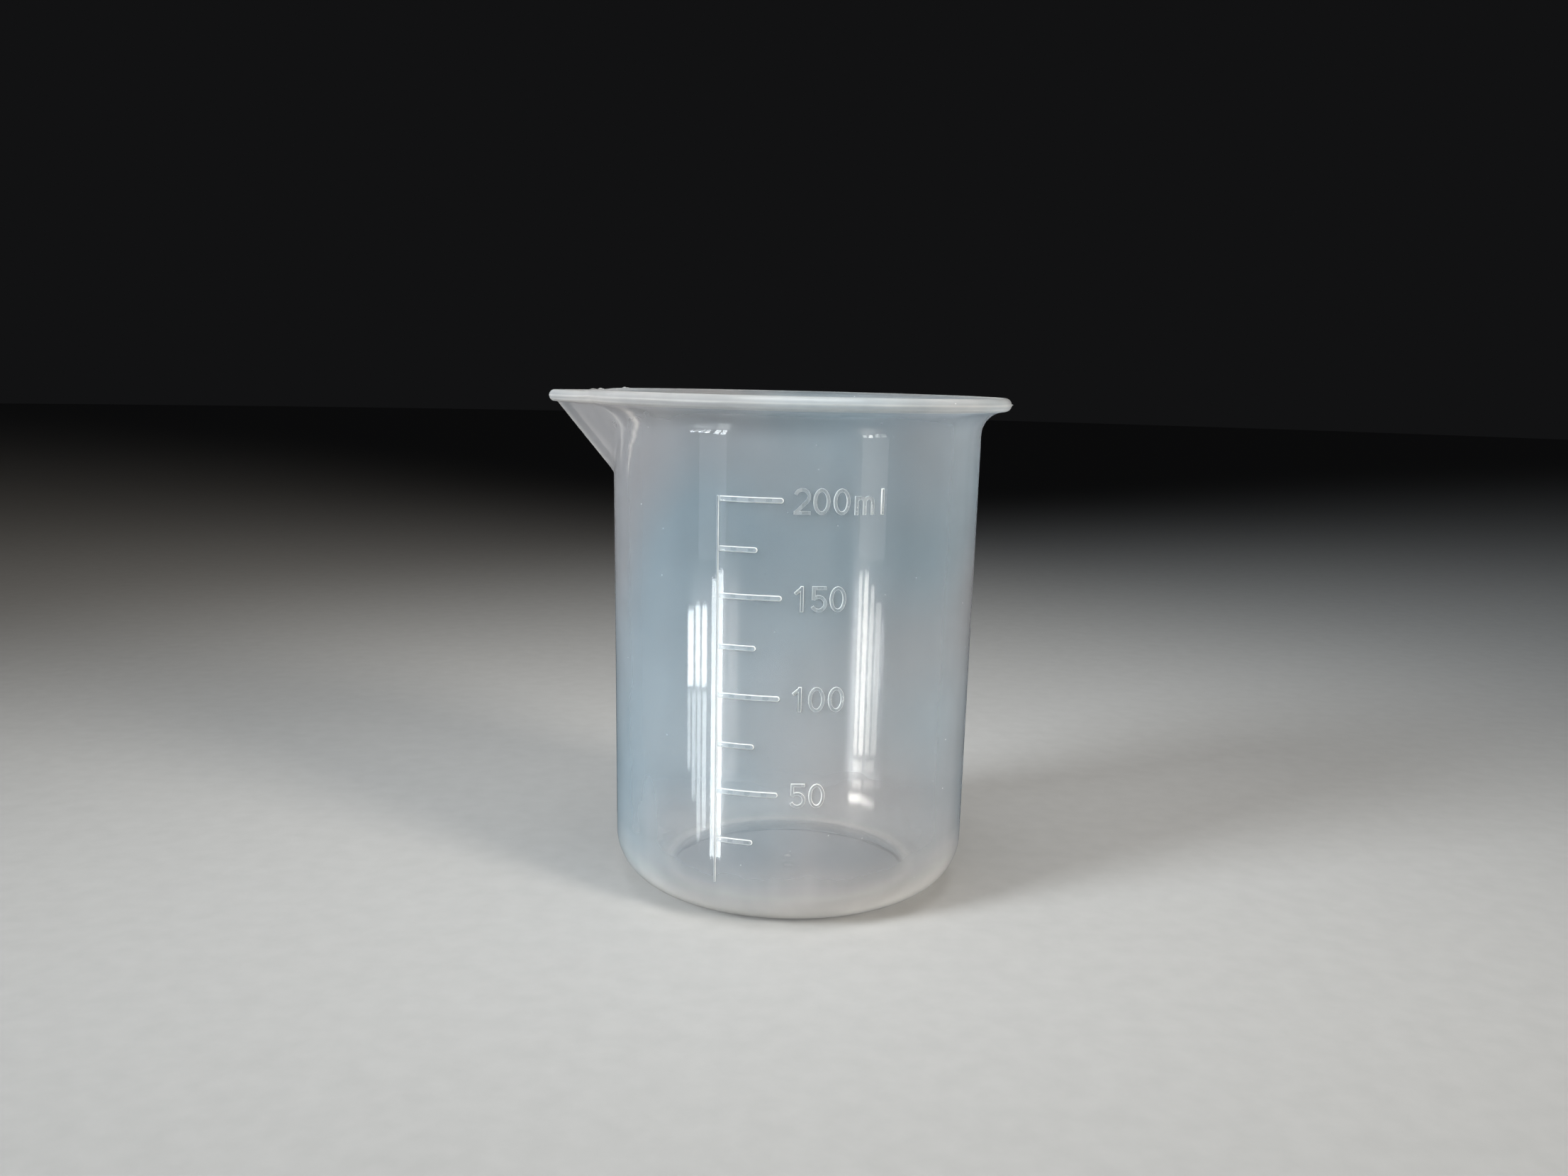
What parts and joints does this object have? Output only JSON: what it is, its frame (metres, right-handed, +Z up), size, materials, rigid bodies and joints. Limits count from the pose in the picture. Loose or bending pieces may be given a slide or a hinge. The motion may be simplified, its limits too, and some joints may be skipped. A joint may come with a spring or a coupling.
{
  "type": "laboratory beaker",
  "caption": "Low-form straight-sided laboratory beaker in translucent plastic, with a flared beaded rim, a V-shaped pouring spout and a raised volume scale.",
  "frame": {"origin": "on the axis of the bore, in the plane that the foot ring stands on", "axes": "+Z up along the bore, the spout points to -X, and the volume scale faces -Y"},
  "size_m": [0.0825, 0.0758, 0.0895],
  "materials": {
    "polypropylene": "milky translucent natural polypropylene, glossy",
    "raised_marks": "the same polypropylene, polished"
  },
  "bodies": {
    "root": {"numeral_050_1_5": "raised_marks", "numeral_050_2_0": "raised_marks", "numeral_100_1_1": "raised_marks", "numeral_100_2_0": "raised_marks", "numeral_100_3_0": "raised_marks", "numeral_150_1_1": "raised_marks", "numeral_150_2_5": "raised_marks", "numeral_150_3_0": "raised_marks", "numeral_200_1_2": "raised_marks", "numeral_200_2_0": "raised_marks", "numeral_200_3_0": "raised_marks", "numeral_200_4_m": "raised_marks", "numeral_200_5_l": "raised_marks", "scale_line": "raised_marks", "tick_025": "raised_marks", "tick_050": "raised_marks", "tick_075": "raised_marks", "tick_100": "raised_marks", "tick_125": "raised_marks", "tick_150": "raised_marks", "tick_175": "raised_marks", "tick_200": "raised_marks", "vessel": "polypropylene"}
  },
  "joints": []
}
